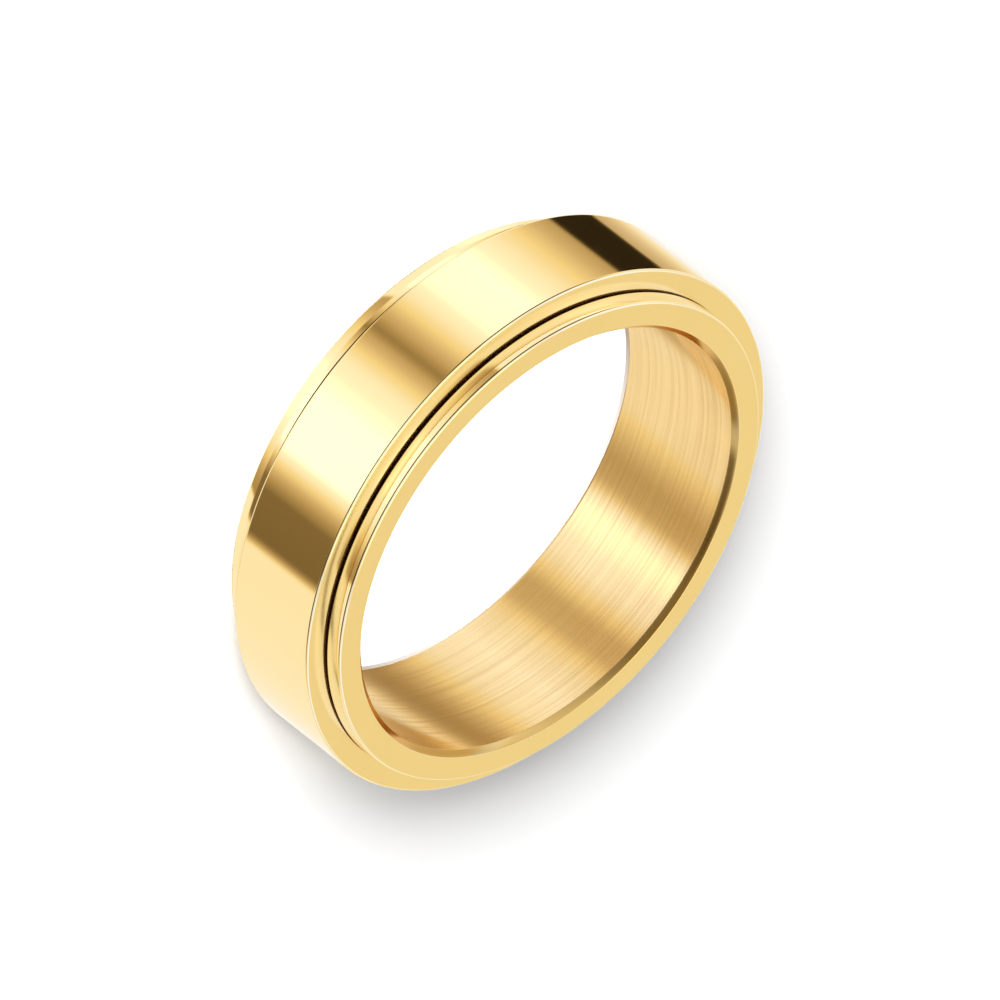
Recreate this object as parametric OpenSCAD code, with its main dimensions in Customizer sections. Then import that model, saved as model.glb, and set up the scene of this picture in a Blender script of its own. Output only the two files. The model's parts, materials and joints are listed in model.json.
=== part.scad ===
// A spinner ring: a base ring with a lip at each end, and a plain band that
// turns freely in the channel between the lips.
// The ring lies on its side. Z is the ring's axis, and z = 0 is the end face
// that it rests on. All lengths are in millimetres.

/* [Finger bore] */
// Diameter of the straight part of the finger bore
bore_d = 18.2; // [14:0.1:23]
// Chamfer between the finger bore and each end face
bore_chamfer = 0.22; // [0.1:0.02:0.5]

/* [Base ring] */
// Wall between the finger bore and the floor of the channel
floor_wall = 1.06; // [0.8:0.02:2]
// Height of each lip above the floor of the channel
lip_h = 0.19; // [0.15:0.01:0.5]
// Width of each lip along the axis
lip_w = 0.72; // [0.4:0.02:2]
// Radius of the polished edge round the outside of each lip
lip_edge_r = 0.1; // [0.04:0.01:0.14]
// Radius of the softened edge where each lip meets the channel
lip_inner_edge_r = 0.06; // [0.02:0.01:0.1]

/* [Spinner band] */
// Width of the band along the axis
band_w = 4.1; // [2:0.1:8]
// Wall of the band
band_wall = 1.01; // [0.6:0.01:2]
// Radius of the polished edges round the outside of the band
band_edge_r = 0.1; // [0.05:0.01:0.25]
// Radius of the softened edges round the inside of the band
band_inner_edge_r = 0.08; // [0.03:0.01:0.12]

/* [Running fit] */
// Radial clearance between the floor of the channel and the band
turn_gap = 0.08; // [0.03:0.01:0.1]
// Gap along the axis between the band and the upper lip
upper_gap = 0.05; // [0.05:0.01:0.6]
// Gap along the axis between the band and the lower lip
lower_gap = 0.56; // [0.05:0.01:0.6]

/* [Hidden] */

bore_r = bore_d / 2;
floor_r = bore_r + floor_wall;
lip_r = floor_r + lip_h;
band_inner_r = floor_r + turn_gap;
band_outer_r = band_inner_r + band_wall;

channel_z = lip_w;
channel_w = lower_gap + band_w + upper_gap;
channel_top_z = channel_z + channel_w;
base_w = channel_top_z + lip_w;
band_z = channel_z + lower_gap;
band_top_z = band_z + band_w;

// How far each cutter runs past the face that it cuts
past = 0.5;
$fn = 180;

// A rectangle of the section, between two radii and two heights
module section_box(inner_r, outer_r, low_z, high_z) {
    translate([inner_r, low_z]) square([outer_r - inner_r, high_z - low_z]);
}

// Puts a cutter on a corner of the section. The cutter is drawn for a lower
// inner corner, and is turned over for an outer or an upper one.
module at_corner(r, z, outer = false, upper = false) {
    translate([r, z])
        mirror([outer ? 1 : 0, 0])
            mirror([0, upper ? 1 : 0])
                children();
}

// What a round edge takes off a corner
module round_waste(edge_r) {
    difference() {
        translate([-past, -past]) square(edge_r + past);
        translate([edge_r, edge_r]) circle(r = edge_r);
    }
}

// What a 45 degree chamfer takes off a corner
module chamfer_waste(size) {
    polygon([[-past, -past], [size + past, -past], [-past, size + past]]);
}

module base_ring() {
    color("gold")
        rotate_extrude()
            difference() {
                section_box(bore_r, lip_r, 0, base_w);
                section_box(floor_r, lip_r + past, channel_z, channel_top_z);
                at_corner(bore_r, 0) chamfer_waste(bore_chamfer);
                at_corner(bore_r, base_w, upper = true) chamfer_waste(bore_chamfer);
                at_corner(lip_r, 0, outer = true) round_waste(lip_edge_r);
                at_corner(lip_r, base_w, outer = true, upper = true) round_waste(lip_edge_r);
                at_corner(lip_r, channel_z, outer = true, upper = true) round_waste(lip_inner_edge_r);
                at_corner(lip_r, channel_top_z, outer = true) round_waste(lip_inner_edge_r);
            }
}

module spinner_band() {
    color("goldenrod")
        rotate_extrude()
            difference() {
                section_box(band_inner_r, band_outer_r, band_z, band_top_z);
                at_corner(band_inner_r, band_z) round_waste(band_inner_edge_r);
                at_corner(band_inner_r, band_top_z, upper = true) round_waste(band_inner_edge_r);
                at_corner(band_outer_r, band_z, outer = true) round_waste(band_edge_r);
                at_corner(band_outer_r, band_top_z, outer = true, upper = true) round_waste(band_edge_r);
            }
}

base_ring();
spinner_band();
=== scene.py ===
"""A spinner ring in gold-coloured plated steel, lying on a white floor.

The base ring and its spinner band are turned by Geometry Nodes from named sizes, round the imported
frame. Lengths are in metres, and +Z is the ring's axis.
"""

import json
import math

import bmesh
import bpy
from mathutils import Matrix, Vector


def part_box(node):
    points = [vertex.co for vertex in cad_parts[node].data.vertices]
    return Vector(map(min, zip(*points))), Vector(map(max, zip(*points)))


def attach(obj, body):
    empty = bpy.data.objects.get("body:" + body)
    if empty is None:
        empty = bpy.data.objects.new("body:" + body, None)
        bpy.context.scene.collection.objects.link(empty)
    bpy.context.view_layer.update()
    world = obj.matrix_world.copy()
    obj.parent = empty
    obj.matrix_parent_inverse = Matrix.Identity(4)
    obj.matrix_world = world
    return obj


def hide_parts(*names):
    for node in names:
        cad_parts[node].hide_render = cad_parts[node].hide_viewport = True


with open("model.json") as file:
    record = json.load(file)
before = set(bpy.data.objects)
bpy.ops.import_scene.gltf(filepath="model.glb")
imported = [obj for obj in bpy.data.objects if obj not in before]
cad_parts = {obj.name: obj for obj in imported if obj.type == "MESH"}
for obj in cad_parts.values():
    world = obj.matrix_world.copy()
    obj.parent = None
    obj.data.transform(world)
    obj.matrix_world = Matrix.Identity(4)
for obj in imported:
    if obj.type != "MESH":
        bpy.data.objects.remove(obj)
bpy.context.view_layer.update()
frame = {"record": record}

MM = 0.001

# Sizes that the frame gives
BASE_LOW, BASE_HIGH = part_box("base_ring")
BAND_LOW, BAND_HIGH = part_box("spinner_band")
BORE = next(m for m in frame["record"]["mounts"] if m["name"] == "finger_bore")["dims"]

# Sizes of the hidden section and of the edges, which the frame's boxes don't give
LIP_WIDTH = 0.72 * MM
CHANNEL_DEPTH = 0.19 * MM
BAND_WALL = 1.01 * MM
LIP_EDGE = 0.1 * MM
LIP_INNER_EDGE = 0.06 * MM
BAND_EDGE = 0.1 * MM
BAND_INNER_EDGE = 0.08 * MM
CHAMFER_EDGE = 0.03 * MM
# How much the polishing wheel takes off each lip towards its end face
LIP_RELIEF = 0.03 * MM

# How finely the pieces are turned
TURN_STEPS = 384
EDGE_STEPS = 7
MERGE_DISTANCE = 0.00001 * MM
# How far up or down a face has to look to count as flat, from 0 to 1
FLAT_LIMIT = 0.999
# How far past the bore a face may lie and still take the bore's finish
BORE_MARGIN = 0.2 * CHAMFER_EDGE

# The camera's place against the ring, as the photograph shows it
CAMERA_ELEVATION = math.radians(33.63)
CAMERA_ROLL = math.radians(127.9)
CAMERA_DISTANCE = 1.03
LENS_MM = 1000.0
SENSOR_MM = 36.0
AIM_HEIGHT = 3.16 * MM
AIM_RIGHT = 0.089 * MM
AIM_UP = 0.033 * MM

# Colours of the plating's finishes, of the painted shade in the channel and on the chamfers, and of the
# floor
GOLD = (1.0, 0.80, 0.41, 1.0)
DEEP_GOLD = (0.98, 0.74, 0.34, 1.0)
BRUSHED_GOLD = (1.0, 0.77, 0.39, 1.0)
SCORED_GOLD = (0.82, 0.55, 0.24, 1.0)
# Painted shade: a deeper orange-brown gold on the chamfers, which are the same plating as the rest
CHAMFER_SHADE_GOLD = (0.66, 0.36, 0.07, 1.0)
PALE_CHAMFER_SHADE_GOLD = (0.76, 0.46, 0.12, 1.0)
# Painted shade: dark brown gold for the channel between the lips and the band, and for the band's inside
CHANNEL_SHADE_GOLD = (0.20, 0.10, 0.03, 1.0)
DARK_CHANNEL_SHADE_GOLD = (0.10, 0.045, 0.012, 1.0)
FLOOR_WHITE = (0.8, 0.8, 0.8, 1.0)


class Wire:
    """One output of a node. Sums on wires add the Math nodes that work them out."""

    def __init__(self, graph, socket):
        self.graph = graph
        self.socket = socket

    def math(self, operation, *values):
        return self.graph.node("ShaderNodeMath", {"operation": operation}, dict(enumerate(values)))

    def __add__(self, other):
        return self.math("ADD", self, other)

    def __radd__(self, other):
        return self.math("ADD", other, self)

    def __sub__(self, other):
        return self.math("SUBTRACT", self, other)

    def __rsub__(self, other):
        return self.math("SUBTRACT", other, self)

    def __mul__(self, other):
        return self.math("MULTIPLY", self, other)

    def __rmul__(self, other):
        return self.math("MULTIPLY", other, self)

    def __truediv__(self, other):
        return self.math("DIVIDE", self, other)

    def __rtruediv__(self, other):
        return self.math("DIVIDE", other, self)

    def __lt__(self, other):
        return self.math("LESS_THAN", self, other)

    def __gt__(self, other):
        return self.math("GREATER_THAN", self, other)


class Graph:
    """A node tree that is written as expressions on wires."""

    def __init__(self, tree):
        self.tree = tree

    def node(self, kind, settings=None, sockets=None, output=0):
        """Adds a node: its settings first, then the value or link of each socket."""
        made = self.tree.nodes.new(kind)
        for name, value in (settings or {}).items():
            if name == "stops":
                set_stops(made.color_ramp, value)
            elif name == "items":
                while len(made.index_switch_items) < value:
                    made.index_switch_items.new()
            else:
                setattr(made, name, value)
        for name, value in (sockets or {}).items():
            target = made.inputs[name]
            if isinstance(value, Wire):
                self.tree.links.new(value.socket, target)
            else:
                target.default_value = value
        return Wire(self, made.outputs[output]) if made.outputs else None

    def ramp(self, value, stops):
        """The tone at a value along a ramp with (place, brightness or colour) stops."""
        return self.node("ShaderNodeValToRGB", {"stops": stops}, {0: value})

    def rise(self, value, low, high):
        """0 below low and 1 above high, with a soft step between them."""
        settings = {"interpolation_type": "SMOOTHSTEP"}
        return self.node("ShaderNodeMapRange", settings, {0: value, 1: low, 2: high})

    def blend(self, amount, first, second):
        """Number first where amount is 0, second where it is 1."""
        return self.node("ShaderNodeMix", {"data_type": "FLOAT"}, {0: amount, 2: first, 3: second})

    def blend_colour(self, amount, first, second, blend_type="MIX"):
        """Colour first where amount is 0. Where it is 1, second, or first times second to multiply."""
        # The node's colours are its inputs 6 and 7 and its output 2
        settings = {"data_type": "RGBA", "blend_type": blend_type}
        return self.node("ShaderNodeMix", settings, {0: amount, 6: first, 7: second}, 2)

    def noise(self, place, scale, detail=2.0, roughness=0.5):
        sockets = {"Vector": place, "Scale": scale, "Detail": detail, "Roughness": roughness}
        return self.node("ShaderNodeTexNoise", None, sockets)

    def bump(self, relief, depth):
        """A normal for a surface whose relief, from 0 to 1, is as deep as this."""
        return self.node("ShaderNodeBump", None, {"Strength": 1.0, "Distance": depth, "Height": relief})


def set_stops(ramp, stops):
    """Gives a colour ramp its (place, brightness or colour) stops, in order."""
    while len(ramp.elements) < len(stops):
        ramp.elements.new(0.5)
    for element, (place, tone) in zip(ramp.elements, stops):
        element.position = place
        element.color = tone if isinstance(tone, tuple) else (tone, tone, tone, 1.0)


# Materials

def new_material(name):
    """A material with an empty graph, and its shader's inputs still to be set."""
    material = bpy.data.materials.new(name)
    material.use_nodes = True
    material.node_tree.nodes.clear()
    return material, Graph(material.node_tree)


def finish_material(graph, shader_sockets):
    shader = graph.node("ShaderNodeBsdfPrincipled", None, shader_sockets)
    graph.node("ShaderNodeOutputMaterial", None, {"Surface": shader})


def polished_gold(name):
    """Mirror-polished gold plating with the faint haze of handling."""
    material, graph = new_material(name)
    place = graph.node("ShaderNodeTexCoord", output="Object")
    haze = graph.noise(place, scale=420.0, detail=3.0)
    fine = graph.noise(place, scale=2600.0)
    finish_material(graph, {
        "Base Color": graph.blend_colour(haze * 0.35, GOLD, DEEP_GOLD),
        "Metallic": 1.0,
        "Roughness": 0.03 + haze * 0.03 + fine * 0.02,
    })
    return material


def satin_gold(name):
    """Fine satin plating, as the flat end faces have, with a grain too small to show as lines."""
    material, graph = new_material(name)
    place = graph.node("ShaderNodeTexCoord", output="Object")
    cloud = graph.noise(place, scale=300.0, detail=3.0)
    grain = graph.noise(place, scale=9000.0)
    finish_material(graph, {
        "Base Color": graph.blend_colour(cloud * 0.8, GOLD, DEEP_GOLD),
        "Metallic": 1.0,
        "Roughness": 0.13 + cloud * 0.06,
        "Normal": graph.bump(grain, depth=0.0008 * MM),
    })
    return material


def brushed_gold(name):
    """Gold plating over a bore that was brushed round its circumference."""
    material, graph = new_material(name)
    place = graph.node("ShaderNodeTexCoord", output="Object")
    broad_lines = graph.noise(stretched_round(graph, place, stretch=120.0), scale=70.0)
    fine_lines = graph.noise(stretched_round(graph, place, stretch=160.0), scale=150.0, roughness=0.6)
    patches = graph.noise(place, scale=260.0, detail=3.0)
    lines = broad_lines * 0.6 + fine_lines * 0.4
    scores = graph.rise(lines, low=0.36, high=0.72)
    finish_material(graph, {
        "Base Color": graph.blend_colour(scores * 0.5 + patches * 0.15, BRUSHED_GOLD, SCORED_GOLD),
        "Metallic": 1.0,
        "Roughness": 0.14 + scores * 0.08 + patches * 0.06,
        "Anisotropic": 1.0,
        "Anisotropic Rotation": 0.25,
        "Normal": graph.bump(lines, depth=0.003 * MM),
    })
    return material


def painted_chamfer_shade(name):
    """Painted shade on the chamfers: a deeper orange-brown gold than the rest of the plating, with faint
    lines round the axis.
    """
    material, graph = new_material(name)
    place = graph.node("ShaderNodeTexCoord", output="Object")
    lines = graph.noise(stretched_round(graph, place, stretch=40.0), scale=160.0, detail=3.0)
    finish_material(graph, {
        "Base Color": graph.blend_colour(lines, CHAMFER_SHADE_GOLD, PALE_CHAMFER_SHADE_GOLD),
        "Metallic": 1.0,
        "Roughness": 0.07 + lines * 0.06,
    })
    return material


def painted_channel_shade(name):
    """Painted shade: a dark brown, rough gold on the channel, the lips' edges beside it and the band's
    inside, standing in for the shade in the gap between the lips and the band.
    """
    material, graph = new_material(name)
    place = graph.node("ShaderNodeTexCoord", output="Object")
    grain = graph.noise(place, scale=3000.0, detail=3.0)
    finish_material(graph, {
        "Base Color": graph.blend_colour(grain, CHANNEL_SHADE_GOLD, DARK_CHANNEL_SHADE_GOLD),
        "Metallic": 1.0,
        "Roughness": 0.45 + grain * 0.2,
    })
    return material


def stretched_round(graph, place, stretch):
    """Object coordinates squeezed so that a noise becomes long thin lines round the axis."""
    scale = (1.0, 1.0, stretch)
    return graph.node("ShaderNodeVectorMath", {"operation": "MULTIPLY"}, {0: place, 1: scale})


def white_floor():
    material, graph = new_material("white_floor")
    finish_material(graph, {"Base Color": FLOOR_WHITE, "Roughness": 0.9, "Specular IOR Level": 0.0})
    return material


# Turned pieces

def base_ring_section(size):
    """Corners of the base ring's section, as (radius, height, edge radius)."""
    chamfer, lip = size["Chamfer"], size["Lip radius"]
    floor = lip - size["Channel depth"]
    end_lip = lip - size["Lip relief"]
    top = size["Top"]
    low_shoulder, high_shoulder = size["Lip width"], top - size["Lip width"]
    bore, edge = size["Inner radius"], size["Outer edge"]
    inner_edge, bore_edge = size["Inner edge"], size["Chamfer edge"]
    return (
        (bore, chamfer, bore_edge),
        (bore + chamfer, 0.0, bore_edge),
        (end_lip, 0.0, edge),
        (lip, low_shoulder, inner_edge),
        (floor, low_shoulder, 0.0),
        (floor, high_shoulder, 0.0),
        (lip, high_shoulder, inner_edge),
        (end_lip, top, edge),
        (bore + chamfer, top, bore_edge),
        (bore, top - chamfer, bore_edge),
    )


def spinner_band_section(size):
    """Corners of the spinner band's section, as (radius, height, edge radius)."""
    inner, outer = size["Inner radius"], size["Outer radius"]
    bottom, top = size["Bottom"], size["Top"]
    return (
        (inner, bottom, size["Inner edge"]),
        (outer, bottom, size["Outer edge"]),
        (outer, top, size["Outer edge"]),
        (inner, top, size["Inner edge"]),
    )


def section_outline(graph, corners):
    """A closed curve through the corners, each rounded to its edge radius."""
    index = graph.node("GeometryNodeInputIndex")
    points = [graph.node("ShaderNodeCombineXYZ", None, {0: r, 1: z}) for r, z, edge in corners]
    edges = [edge for r, z, edge in corners]
    line = graph.node("GeometryNodeMeshLine", None, {"Count": len(corners)})
    places = pick(graph, "VECTOR", index, points)
    placed = graph.node("GeometryNodeSetPosition", None, {"Geometry": line, "Position": places})
    open_curve = graph.node("GeometryNodeMeshToCurve", None, {"Mesh": placed})
    outline = graph.node("GeometryNodeSetSplineCyclic", None, {"Geometry": open_curve, "Cyclic": True})
    return graph.node("GeometryNodeFilletCurve", {"mode": "POLY"}, {
        "Curve": outline,
        "Count": EDGE_STEPS,
        "Radius": pick(graph, "FLOAT", index, edges),
        "Limit Radius": True,
    })


def pick(graph, data_type, index, values):
    """The value whose number is the index."""
    sockets = {0: index}
    sockets.update(enumerate(values, start=1))
    return graph.node("GeometryNodeIndexSwitch", {"data_type": data_type, "items": len(values)}, sockets)


def named_tree(name, sizes, finishes):
    """A Geometry Nodes tree with one output, and an input for each size and each finish or painted shade.
    """
    tree = bpy.data.node_groups.new(name, "GeometryNodeTree")
    tree.interface.new_socket("Piece", in_out="OUTPUT", socket_type="NodeSocketGeometry")
    for size_name in sizes:
        tree.interface.new_socket(size_name, in_out="INPUT", socket_type="NodeSocketFloat")
    tree.interface.new_socket("Turn steps", in_out="INPUT", socket_type="NodeSocketInt")
    for finish_name, faces in finishes:
        tree.interface.new_socket(finish_name, in_out="INPUT", socket_type="NodeSocketMaterial")
    return tree


def turn_outline(graph, outline, inner_radius, turn_steps):
    """The surface that the outline of a section leaves as it turns round Z."""
    # The path turns the section over, so it is turned over here first
    about_path = graph.node("GeometryNodeTransform", None, {
        "Geometry": outline,
        "Translation": graph.node("ShaderNodeCombineXYZ", None, {0: 0.0 - inner_radius}),
        "Scale": (1.0, -1.0, 1.0),
    })
    path = graph.node("GeometryNodeCurvePrimitiveCircle", {"mode": "RADIUS"}, {
        "Resolution": turn_steps,
        "Radius": inner_radius,
    })
    turned = graph.node("GeometryNodeCurveToMesh", None, {"Curve": path, "Profile Curve": about_path})
    return graph.node("GeometryNodeSetShadeSmooth", None, {"Geometry": turned})


def turning_tree(name, sizes, finishes, section):
    """A tree that turns a section round Z. Its inputs are the sizes and the finishes, some of which are
    painted shade.

    Each finish has a name and the function that picks its faces, and a later one covers an earlier one.
    """
    tree = named_tree(name, sizes, finishes)
    graph = Graph(tree)
    group = tree.nodes.new("NodeGroupInput")
    given = {socket.name: Wire(graph, socket) for socket in group.outputs if socket.name}
    outline = section_outline(graph, section(given))
    turned = turn_outline(graph, outline, given["Inner radius"], given["Turn steps"])
    piece = graph.node("GeometryNodeRealizeInstances", None, {"Geometry": turned})
    place = FacePlace(graph)
    for finish_name, faces in finishes:
        piece = graph.node("GeometryNodeSetMaterial", None, {
            "Geometry": piece,
            "Selection": faces(place, given),
            "Material": given[finish_name],
        })
    output = tree.nodes.new("NodeGroupOutput")
    tree.links.new(piece.socket, output.inputs[0])
    return tree


class FacePlace:
    """Where a face lies: its distance from the axis, its height, and how far it faces up or down."""

    def __init__(self, graph):
        place = graph.node("GeometryNodeInputPosition")
        flat = graph.node("ShaderNodeVectorMath", {"operation": "MULTIPLY"}, {0: place, 1: (1.0, 1.0, 0.0)})
        normal = graph.node("GeometryNodeInputNormal")
        upward = graph.node("ShaderNodeSeparateXYZ", None, {0: normal}, "Z")
        self.radius = graph.node("ShaderNodeVectorMath", {"operation": "LENGTH"}, {0: flat}, "Value")
        self.height = graph.node("ShaderNodeSeparateXYZ", None, {0: place}, "Z")
        self.flatness = upward.math("ABSOLUTE", upward)


def everywhere(place, size):
    return True


def flat_ends(place, size):
    """The flat faces square to the axis."""
    return place.flatness > FLAT_LIMIT


def chamfers(place, size):
    """The chamfers, and the bore within them."""
    return place.radius < size["Inner radius"] + size["Chamfer"]


def bore_wall(place, size):
    """The faces of the straight bore."""
    return place.radius < size["Inner radius"] + BORE_MARGIN


def channel_walls(place, size):
    """The channel, the lips' soft edges towards it, and the bore, which the bore's finishes cover again."""
    low_edge = size["Lip width"] - size["Inner edge"]
    return (place.height > low_edge) * (place.height < size["Top"] - low_edge)


def turned_piece(name, sizes, section, finishes):
    """Turns a section into a plain mesh object. Each finish, or painted shade, is a name, its faces and its
    material.
    """
    picked = [(finish_name, faces) for finish_name, faces, material in finishes]
    tree = turning_tree(name + "_tree", sizes, picked, section)
    maker = bpy.data.objects.new(name + "_maker", bpy.data.meshes.new(name + "_maker"))
    bpy.context.scene.collection.objects.link(maker)
    turning = maker.modifiers.new("turning", "NODES")
    turning.node_group = tree
    values = {**sizes, "Turn steps": TURN_STEPS}
    values.update((finish_name, material) for finish_name, faces, material in finishes)
    for item in tree.interface.items_tree:
        if item.in_out == "INPUT":
            turning[item.identifier] = values[item.name]
    return plain_copy(maker, name)


def plain_copy(maker, name):
    """The maker's evaluated shape as a mesh of its own. The maker is deleted."""
    depsgraph = bpy.context.evaluated_depsgraph_get()
    mesh = bpy.data.meshes.new_from_object(maker.evaluated_get(depsgraph))
    mesh.name = name
    bpy.data.objects.remove(maker)
    shape = bmesh.new()
    shape.from_mesh(mesh)
    bmesh.ops.remove_doubles(shape, verts=shape.verts, dist=MERGE_DISTANCE)
    bmesh.ops.recalc_face_normals(shape, faces=shape.faces)
    shape.to_mesh(mesh)
    shape.free()
    piece = bpy.data.objects.new(name, mesh)
    bpy.context.scene.collection.objects.link(piece)
    return piece


def keep_faces_flat(piece):
    """Weights the normals by face area, so that a broad wall mirrors straight up to its edges."""
    weighting = piece.modifiers.new("weighting", "WEIGHTED_NORMAL")
    weighting.mode = "FACE_AREA"
    weighting.weight = 100
    depsgraph = bpy.context.evaluated_depsgraph_get()
    mesh = bpy.data.meshes.new_from_object(piece.evaluated_get(depsgraph))
    piece.modifiers.remove(weighting)
    piece.data = mesh


def make_base_ring(finish):
    bore_radius = BORE["r_mm"] * MM
    height = BASE_HIGH.z - BASE_LOW.z
    sizes = {
        "Inner radius": bore_radius,
        "Chamfer": (height - BORE["length_mm"] * MM) / 2,
        "Lip radius": BASE_HIGH.x,
        "Lip width": LIP_WIDTH,
        "Lip relief": LIP_RELIEF,
        "Channel depth": CHANNEL_DEPTH,
        "Top": height,
        "Outer edge": LIP_EDGE,
        "Inner edge": LIP_INNER_EDGE,
        "Chamfer edge": CHAMFER_EDGE,
    }
    piece = turned_piece("turned_base_ring", sizes, base_ring_section, (
        ("Lip finish", everywhere, finish["polished"]),
        ("End finish", flat_ends, finish["satin"]),
        # The channel and the lips' edges beside it get a painted shade of dark brown gold
        ("Channel finish", channel_walls, finish["channel_shade"]),
        # The chamfers get a painted shade of deeper gold
        ("Chamfer finish", chamfers, finish["edge"]),
        ("Bore finish", bore_wall, finish["brushed"]),
    ))
    keep_faces_flat(piece)
    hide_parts("base_ring")
    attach(piece, "base")


def make_spinner_band(finish):
    sizes = {
        "Inner radius": BAND_HIGH.x - BAND_WALL,
        "Outer radius": BAND_HIGH.x,
        "Bottom": BAND_LOW.z,
        "Top": BAND_HIGH.z,
        "Outer edge": BAND_EDGE,
        "Inner edge": BAND_INNER_EDGE,
    }
    piece = turned_piece("turned_spinner_band", sizes, spinner_band_section, (
        ("Outside finish", everywhere, finish["polished"]),
        ("End finish", flat_ends, finish["satin"]),
        # The band's inside gets a painted shade of dark brown gold
        ("Inside finish", bore_wall, finish["channel_shade"]),
    ))
    keep_faces_flat(piece)
    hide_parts("spinner_band")
    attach(piece, "band")


# Studio

# Brightness of the studio's walls by azimuth in degrees, 0 at the camera and positive to its left.
# The band's own face mirrors the first ring of walls, the lips the second, and the bore the third.
BAND_WALLS = (
    (-180, 0.80), (-76, 0.79), (-71, 0.36), (-52, 0.37), (-40, 0.72), (-33, 1.0), (-10, 1.0), (6, 0.84),
    (20, 0.55), (23.5, 0.41), (29, 0.56), (42, 0.80), (51, 0.95), (70, 0.97), (90, 0.75), (113.5, 0.52),
    (115.5, 0.04), (137, 0.04), (139, 0.57), (150, 0.64), (165, 0.76), (180, 0.80),
)
LIP_WALLS = (
    (-180, 0.80), (-66, 0.82), (-63.5, 0.47), (-56, 0.52), (-36, 0.85), (-22, 0.95), (0, 0.94),
    (34, 0.57), (40.5, 0.52), (43, 0.84), (70, 0.86), (88, 0.92), (110, 0.90), (125, 0.80), (180, 0.80),
)
BORE_WALLS = (
    (-180, 0.75), (-100, 0.77), (-64, 0.53), (-50, 0.57), (-44, 0.68), (-38, 0.90), (-28, 0.97),
    (0, 0.87), (25, 0.57), (38, 0.59), (51, 0.75), (77, 0.90), (100, 0.82), (145, 0.46), (158, 0.45),
    (180, 0.75),
)
# How much darker the studio is at eye level on the camera's side
HORIZON_SHARE = 0.8

# Belts of the studio, as (low edge, high edge, softness). A height here is the sine of an elevation.
# Only the first belt has the walls that the band's face mirrors. The lips' walls are everywhere else.
BAND_BELT = (-0.60, -0.50, 0.012)
HORIZON_BELT = (-0.35, 0.34, 0.05)
TWICE_MIRRORED_BELT = (0.46, 0.55, 0.02)
LOW_SKY_BELT = (0.55, 0.84, 0.02)
# The heights between which the walls end in the sky, on the far side too, and the sky in the zenith
SKY_EDGE = (0.555, 0.575)
FAR_SKY_EDGE = (0.10, 0.30)
ZENITH_EDGE = (0.88, 0.92)
# Degrees from the camera's azimuth between which its side of the studio ends and the far side starts
CAMERA_SIDE_EDGE = (60.0, 120.0)
FAR_SIDE_EDGE = (155.0, 168.0)

# Colour of the studio's light by brightness. Dim light is warm, as it comes off gold-coloured metal.
# The colours are halved, and the strength of the light doubles them again.
LIGHT_STRENGTH = 2.0
LIGHT_COLOURS = (
    (0.0, (0.004, 0.003, 0.002, 1.0)),
    (0.2, (0.05, 0.035, 0.015, 1.0)),
    (0.35, (0.095, 0.067, 0.032, 1.0)),
    (0.5, (0.23, 0.17, 0.09, 1.0)),
    (0.6, (0.33, 0.26, 0.17, 1.0)),
    (0.7, (0.47, 0.41, 0.27, 1.0)),
    (0.8, (0.50, 0.50, 0.50, 1.0)),
    (0.9, (0.56, 0.58, 0.65, 1.0)),
    (1.0, (0.92, 0.92, 0.92, 1.0)),
)
SKY = (0.437, 0.404, 0.299, 1.0)
ZENITH = (0.92, 0.92, 0.80, 1.0)
# The upper lip and the band's end face mirror each other, so what both mirror is cooler.
# After two reflections in gold it comes out the same.
TWICE_MIRRORED = (0.92, 1.12, 1.8, 1.0)
TWICE_MIRRORED_SKY = (0.51, 0.59, 0.87, 1.0)

# A thin dark bar that curves round the studio, just where the upper chamfer mirrors it to the camera.
# Columns: which way the chamfer faces, in degrees from the camera and positive to its left, and darkness.
# It is faint round -52 degrees, where the front lip would mirror it too.
DARK_BAR = (
    (-86, 0.0), (-80, 0.55), (-70, 0.72), (-58, 0.75), (-54, 0.20), (-50, 0.20), (-46, 0.90), (-24, 1.0),
    (-8, 0.85), (8, 0.85), (16, 0.70), (24, 0.35), (40, 0.0), (52, 0.0), (60, 0.35), (80, 0.25), (88, 0.0),
)
DARK = (0.06, 0.045, 0.015, 1.0)
# The bar's height is worked out for these facings of the chamfer, and its belt is measured from there
BAR_FACINGS = range(-90, 91, 10)
BAR_BELT = (-0.035, 0.035, 0.02)

# The plain white that all but the polish sees: its strength as light, and to the camera
PLAIN_LIGHT = 0.35
PLAIN_BACKDROP = 1.0

# The funnel of light below the floor, with each rim as (radius, depth below the floor)
SCREEN_RIMS = ((9.6 * MM, 0.05 * MM), (39.6 * MM, 60.0 * MM))
SCREEN_STEPS = 120

FLOOR_HALF = 2.0
FAR_LIGHT_ANGLE = math.radians(22)
HOLE_LIGHT_HEIGHT = 0.25
HOLE_LIGHT_ENERGY = 3.2
HOLE_LIGHT_RADIUS = 0.5 * MM
# How far the hole's light reaches past the bore
HOLE_LIGHT_MARGIN = 0.3 * MM


def wall_stops(walls):
    """A ramp's stops for a ring of walls, from (azimuth in degrees, tone) pairs."""
    return tuple(((degrees + 180) / 360, tone) for degrees, tone in walls)


def azimuth_share(graph, direction):
    """Azimuth as a share of a turn, 0.5 at the camera."""
    x = graph.node("ShaderNodeSeparateXYZ", None, {0: direction}, "X")
    y = graph.node("ShaderNodeSeparateXYZ", None, {0: direction}, "Y")
    return x.math("ARCTAN2", 0.0 - x, 0.0 - y) / math.tau + 0.5


def mirrored_by_chamfer(facing):
    """What the upper chamfer mirrors to the camera, as azimuth in degrees and sine of elevation."""
    facing = math.radians(facing)
    height = math.cos(CAMERA_ELEVATION) * math.cos(facing)
    reach = height + math.sin(CAMERA_ELEVATION)
    aside = reach * math.sin(facing)
    forward = reach * math.cos(facing) - math.cos(CAMERA_ELEVATION)
    return math.degrees(math.atan2(aside, forward)), height


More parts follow.
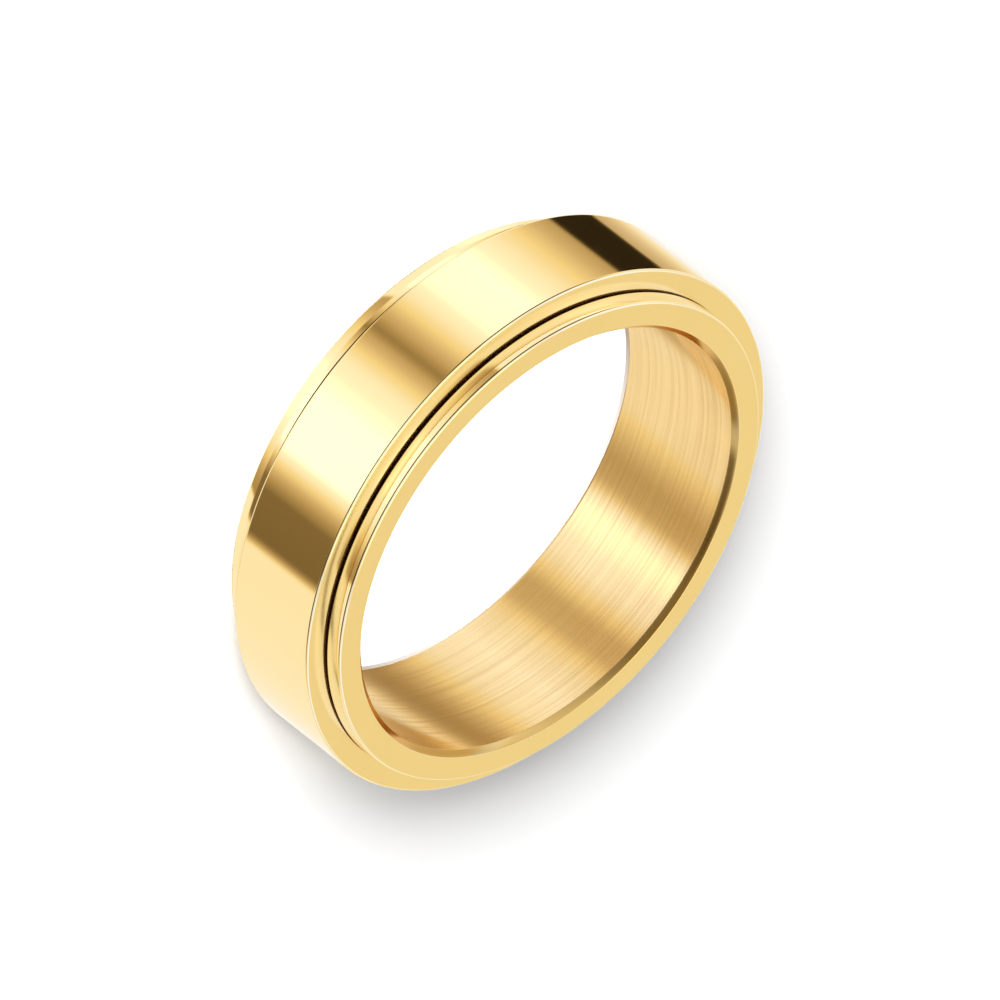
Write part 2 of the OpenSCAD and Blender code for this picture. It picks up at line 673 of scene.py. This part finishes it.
def strip(graph, value, low, high, soft):
    """1 between low and high, and 0 once past either by more than soft."""
    return graph.rise(value, low - soft, low) * (1.0 - graph.rise(value, high, high + soft))


def studio_walls(graph, azimuth, height, camera_side, far_side):
    """The colour of the studio's walls."""
    band_wall = graph.ramp(azimuth, wall_stops(BAND_WALLS))
    lip_wall = graph.ramp(azimuth, wall_stops(LIP_WALLS))
    tone = graph.blend(strip(graph, height, *BAND_BELT), lip_wall, band_wall)
    horizon = strip(graph, height, *HORIZON_BELT)
    tone = tone * (1.0 - horizon * camera_side * HORIZON_SHARE)
    colour = graph.ramp(tone, LIGHT_COLOURS)
    twice_mirrored = strip(graph, height, *TWICE_MIRRORED_BELT) * (1.0 - far_side)
    return graph.blend_colour(twice_mirrored, colour, TWICE_MIRRORED, blend_type="MULTIPLY")


def studio_sky(graph, height, far_side):
    """The colour of the sky above the walls."""
    low_sky = strip(graph, height, *LOW_SKY_BELT) * (1.0 - far_side)
    return graph.blend_colour(low_sky, SKY, TWICE_MIRRORED_SKY)


def bar_darkness(graph, azimuth, height):
    """How much of the dark bar's colour the studio has, from 0 to 1."""
    places = [mirrored_by_chamfer(facing) for facing in BAR_FACINGS]
    shares = [(mirrored_by_chamfer(facing)[0], share) for facing, share in DARK_BAR]
    above_bar = height - graph.ramp(azimuth, wall_stops(places))
    return strip(graph, above_bar, *BAR_BELT) * graph.ramp(azimuth, wall_stops(shares))


def studio_light(graph, direction):
    """The colour of the studio in a direction."""
    height = graph.node("ShaderNodeSeparateXYZ", None, {0: direction}, "Z")
    azimuth = azimuth_share(graph, direction)
    degrees = azimuth * 360.0 - 180.0
    aside = degrees.math("ABSOLUTE", degrees)
    camera_side = 1.0 - graph.rise(aside, *CAMERA_SIDE_EDGE)
    far_side = graph.rise(aside, *FAR_SIDE_EDGE)
    walls = studio_walls(graph, azimuth, height, camera_side, far_side)
    sky = studio_sky(graph, height, far_side)
    above = graph.blend(far_side, graph.rise(height, *SKY_EDGE), graph.rise(height, *FAR_SKY_EDGE))
    colour = graph.blend_colour(above, walls, sky)
    colour = graph.blend_colour(bar_darkness(graph, azimuth, height), colour, DARK)
    return graph.blend_colour(graph.rise(height, *ZENITH_EDGE), colour, ZENITH)


def screen_light():
    """Light with the tones of the bore's walls."""
    material, graph = new_material("bore_screen")
    place = graph.node("ShaderNodeTexCoord", output="Object")
    tone = graph.ramp(azimuth_share(graph, place), wall_stops(BORE_WALLS))
    colour = graph.ramp(tone, LIGHT_COLOURS)
    light = graph.node("ShaderNodeEmission", None, {"Color": colour, "Strength": LIGHT_STRENGTH})
    graph.node("ShaderNodeOutputMaterial", None, {"Surface": light})
    return material


def funnel_mesh(name, rims, steps):
    """A funnel from the first rim to the second, which is closed."""
    corners = []
    for radius, depth in rims:
        for step in range(steps):
            angle = math.tau * step / steps
            corners.append((radius * math.cos(angle), radius * math.sin(angle), -depth))
    sides = [(i, (i + 1) % steps, steps + (i + 1) % steps, steps + i) for i in range(steps)]
    bottom = tuple(range(steps, 2 * steps))
    mesh = bpy.data.meshes.new(name)
    mesh.from_pydata(corners, [], sides + [bottom])
    return mesh


def add_bore_screen():
    """A funnel of light that widens below the floor, for the bore to mirror through its open end."""
    mesh = funnel_mesh("bore_screen", SCREEN_RIMS, SCREEN_STEPS)
    mesh.materials.append(screen_light())
    screen = bpy.data.objects.new("bore_screen", mesh)
    bpy.context.scene.collection.objects.link(screen)
    screen.visible_camera = False
    screen.visible_diffuse = False
    screen.visible_shadow = False


def studio_world():
    """Walls of light round the ring for its polish, and plain white for everything else."""
    world = bpy.data.worlds.new("studio")
    world.use_nodes = True
    world.node_tree.nodes.clear()
    world.cycles.sampling_method = "NONE"
    graph = Graph(world.node_tree)
    direction = graph.node("ShaderNodeTexCoord", output="Generated")
    colour = studio_light(graph, direction)
    walls = graph.node("ShaderNodeBackground", None, {"Color": colour, "Strength": LIGHT_STRENGTH})
    seen = graph.node("ShaderNodeLightPath", output="Is Camera Ray")
    mirrored = graph.node("ShaderNodeLightPath", output="Is Glossy Ray")
    plain_strength = graph.blend(seen, PLAIN_LIGHT, PLAIN_BACKDROP)
    plain = graph.node("ShaderNodeBackground", None, {"Strength": plain_strength})
    both = graph.node("ShaderNodeMixShader", None, {0: mirrored, 1: plain, 2: walls})
    graph.node("ShaderNodeOutputWorld", None, {"Surface": both})
    bpy.context.scene.world = world


def make_floor():
    mesh = bpy.data.meshes.new("floor")
    half = FLOOR_HALF
    corners = [(-half, -half, 0.0), (half, -half, 0.0), (half, half, 0.0), (-half, half, 0.0)]
    mesh.from_pydata(corners, [], [(0, 1, 2, 3)])
    mesh.materials.append(white_floor())
    floor = bpy.data.objects.new("floor", mesh)
    bpy.context.scene.collection.objects.link(floor)
    floor.visible_glossy = False


def add_light(name, light):
    """Puts a light in the scene. The polish doesn't mirror it: it mirrors the studio's walls."""
    placed = bpy.data.objects.new(name, light)
    bpy.context.scene.collection.objects.link(placed)
    placed.visible_glossy = False
    return placed


def add_far_light(name, azimuth, elevation, energy):
    """A soft light from far away. Its azimuth is 0 behind the camera and positive to its left."""
    light = bpy.data.lights.new(name, "SUN")
    light.energy = energy
    light.angle = FAR_LIGHT_ANGLE
    towards_light = Vector((
        -math.sin(math.radians(azimuth)),
        -math.cos(math.radians(azimuth)),
        math.tan(math.radians(elevation)),
    ))
    add_light(name, light).rotation_euler = towards_light.to_track_quat("Z", "Y").to_euler()


def add_hole_light():
    """A narrow light straight down the finger hole, which keeps the floor inside it white."""
    reach = BORE["r_mm"] * MM + HOLE_LIGHT_MARGIN
    light = bpy.data.lights.new("hole", "SPOT")
    light.energy = HOLE_LIGHT_ENERGY
    light.shadow_soft_size = HOLE_LIGHT_RADIUS
    light.spot_size = 2 * math.atan2(reach, HOLE_LIGHT_HEIGHT)
    light.spot_blend = 0.02
    add_light("hole", light).location = (0.0, 0.0, HOLE_LIGHT_HEIGHT)


def add_camera():
    camera_data = bpy.data.cameras.new("camera")
    camera_data.lens = LENS_MM
    camera_data.sensor_width = SENSOR_MM
    camera_data.clip_start = 0.01
    camera_data.clip_end = 10.0
    camera = bpy.data.objects.new("camera", camera_data)
    bpy.context.scene.collection.objects.link(camera)
    middle = Vector((0.0, 0.0, AIM_HEIGHT))
    turn = Matrix.Rotation(math.pi / 2 - CAMERA_ELEVATION, 4, "X") @ Matrix.Rotation(CAMERA_ROLL, 4, "Z")
    aim = turn @ Vector((AIM_RIGHT, AIM_UP, CAMERA_DISTANCE))
    camera.matrix_world = Matrix.Translation(middle + aim) @ turn
    bpy.context.scene.camera = camera


def set_view():
    view = bpy.context.scene.view_settings
    view.view_transform = "Standard"
    view.look = "None"


add_camera()
finishes = {
    "polished": polished_gold("polished_gold"),
    "satin": satin_gold("satin_gold"),
    "brushed": brushed_gold("brushed_gold"),
    # Painted shade for the chamfers
    "edge": painted_chamfer_shade("painted_chamfer_shade"),
    # Painted shade for the channel and the band's inside
    "channel_shade": painted_channel_shade("painted_channel_shade"),
}
make_base_ring(finishes)
make_spinner_band(finishes)
make_floor()
add_far_light("key", azimuth=12, elevation=26, energy=4.8)
add_far_light("fill", azimuth=-4, elevation=30, energy=3.4)
add_hole_light()
add_bore_screen()
studio_world()
set_view()
